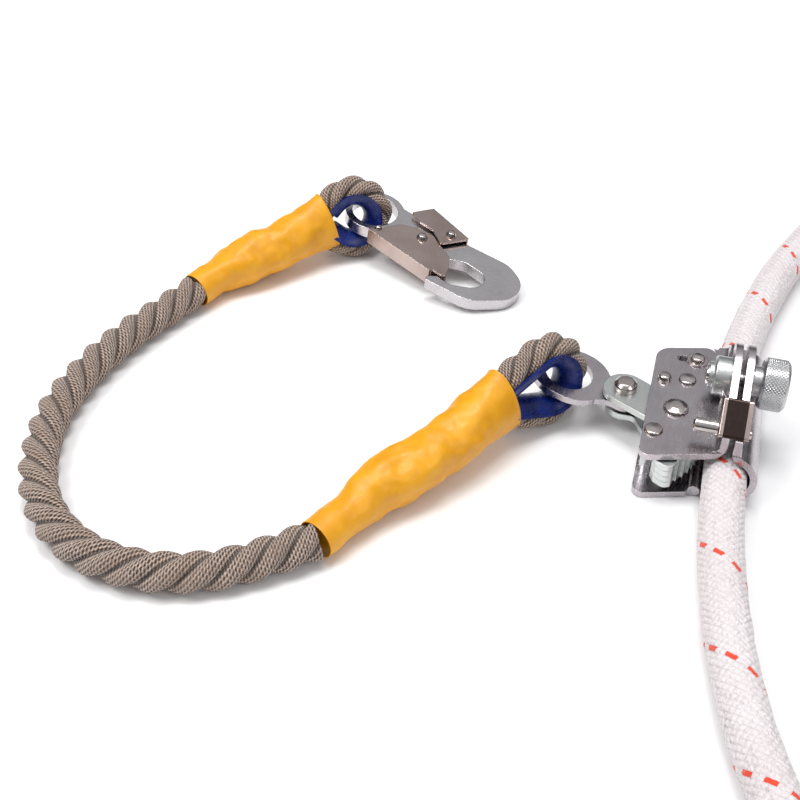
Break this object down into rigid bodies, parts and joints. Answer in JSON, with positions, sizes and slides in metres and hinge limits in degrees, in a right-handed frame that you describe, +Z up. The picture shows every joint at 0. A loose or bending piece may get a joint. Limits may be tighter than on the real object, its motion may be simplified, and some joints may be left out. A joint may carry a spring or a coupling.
{
  "type": "rope grab",
  "caption": "Hinged-sleeve rope grab on a lifeline, with a toothed cam lever, eye ring, spliced shock lanyard and self-locking snap hook.",
  "frame": {"origin": "on the axis of the rope channel, at the middle of its length", "axes": "+Y along the channel towards the anchor end of the lifeline, +X from the cam to the closure knob side, +Z up from the back plate through the front plate; the object lies on z = -13 mm"},
  "size_m": [0.3423, 0.3783, 0.0495],
  "materials": {
    "nickel_sheet": "satin",
    "steel_pin": "satin",
    "rivet_steel": "polished",
    "zinc_steel": "satin",
    "spring_wire": "polished",
    "lifeline_sheath": "braided",
    "knurled_steel": "knurled",
    "copper_tint_steel": "polished",
    "lanyard_fibre": "laid and braided",
    "thimble_plastic": "glossy",
    "sleeve_plastic": "shrunk",
    "hook_steel": "satin"
  },
  "bodies": {
    "grab_body": {"front_plate": "nickel_sheet", "back_plate": "nickel_sheet", "rope_door": "nickel_sheet", "hinge_pin": "steel_pin", "pivot_pin": "rivet_steel", "rivet_near": "rivet_steel", "rivet_far": "rivet_steel", "spacer_near": "steel_pin", "spacer_far": "steel_pin", "spring_post": "rivet_steel", "nut_boss": "zinc_steel", "boss_rivet": "rivet_steel", "latch_pin": "rivet_steel", "latch_spring": "spring_wire", "cam_spring": "spring_wire", "lifeline_low": "lifeline_sheath", "lifeline_high": "lifeline_sheath"},
    "screw_carriage": {"screw_washer": "rivet_steel"},
    "closure_screw": {"thumbscrew": "knurled_steel"},
    "latch": {"latch_clip": "copper_tint_steel"},
    "park_slider": {"park_pin": "rivet_steel", "park_washer": "rivet_steel", "park_washer_inner": "rivet_steel"},
    "cam_lever": {"cam_plate_low": "zinc_steel", "cam_plate_high": "zinc_steel", "link_high": "zinc_steel", "link_low": "zinc_steel", "lever_screw": "rivet_steel", "lever_nut": "zinc_steel"},
    "ring": {"eye_ring": "nickel_sheet"},
    "lanyard": {"rope_eye_grab": "lanyard_fibre", "thimble_grab": "thimble_plastic", "sleeve_grab": "sleeve_plastic", "lanyard_rope": "lanyard_fibre", "sleeve_hook": "sleeve_plastic", "rope_eye_hook": "lanyard_fibre", "thimble_hook": "thimble_plastic"},
    "snap_hook": {"hook_frame": "hook_steel", "stop_rivet": "rivet_steel", "gate_rivet": "rivet_steel", "lock_rivet": "rivet_steel", "gate_spring": "spring_wire", "lock_spring": "spring_wire"},
    "gate": {"hook_gate": "copper_tint_steel"},
    "lock": {"hook_lock": "copper_tint_steel"}
  },
  "joints": [
    {"name": "closure_travel", "type": "slide", "parent": "grab_body", "child": "screw_carriage", "axis": [1, 0, 0], "range_m": [0, 0.005]},
    {"name": "closure_spin", "type": "hinge", "parent": "screw_carriage", "child": "closure_screw", "pos_m": [0.008, 0.0095, 0.0215], "axis": [1, 0, 0], "range_deg": [0, 1440]},
    {"name": "latch_lift", "type": "hinge", "parent": "grab_body", "child": "latch", "pos_m": [0, -0.0214, 0.019], "axis": [1, 0, 0], "range_deg": [-7, 0], "stiffness_Nm_per_rad": 0.01, "springref_deg": 11.46},
    {"name": "park_slide", "type": "slide", "parent": "grab_body", "child": "park_slider", "axis": [1, 0, 0], "range_m": [-0.007, 0]},
    {"name": "cam_pivot", "type": "hinge", "parent": "grab_body", "child": "cam_lever", "pos_m": [-0.024, -0.0052, 0], "axis": [0, 0, 1], "range_deg": [-12, 0], "stiffness_Nm_per_rad": 0.05, "springref_deg": 5.73},
    {"name": "ring_swivel", "type": "hinge", "parent": "cam_lever", "child": "ring", "pos_m": [-0.0465, 0.0071, 0.0016], "axis": [0, 0, 1], "range_deg": [-15, 15]},
    {"name": "lanyard_swing", "type": "hinge", "parent": "ring", "child": "lanyard", "pos_m": [-0.081, 0.0019, 0.00867], "axis": [0, 0, 1], "range_deg": [-4, 4]},
    {"name": "hook_swing", "type": "hinge", "parent": "lanyard", "child": "snap_hook", "pos_m": [-0.2038, 0.1062, 0.0087], "axis": [0, 0, 1], "range_deg": [-8, 1.5]},
    {"name": "gate_open", "type": "hinge", "parent": "snap_hook", "child": "gate", "pos_m": [-0.165, 0.10197, 0.00093], "axis": [0.1622, -0.0752, 0.9839], "range_deg": [0, 28], "stiffness_Nm_per_rad": 0.02, "springref_deg": -17.19},
    {"name": "lock_press", "type": "hinge", "parent": "snap_hook", "child": "lock", "pos_m": [-0.1513, 0.10928, -0.00077], "axis": [0.1622, -0.0752, 0.9839], "range_deg": [0, 10], "stiffness_Nm_per_rad": 0.02, "springref_deg": -17.19}
  ],
  "couplings": [
    {"joint": "closure_spin", "follows": "closure_travel", "rad_per_m": 5026.5}
  ]
}
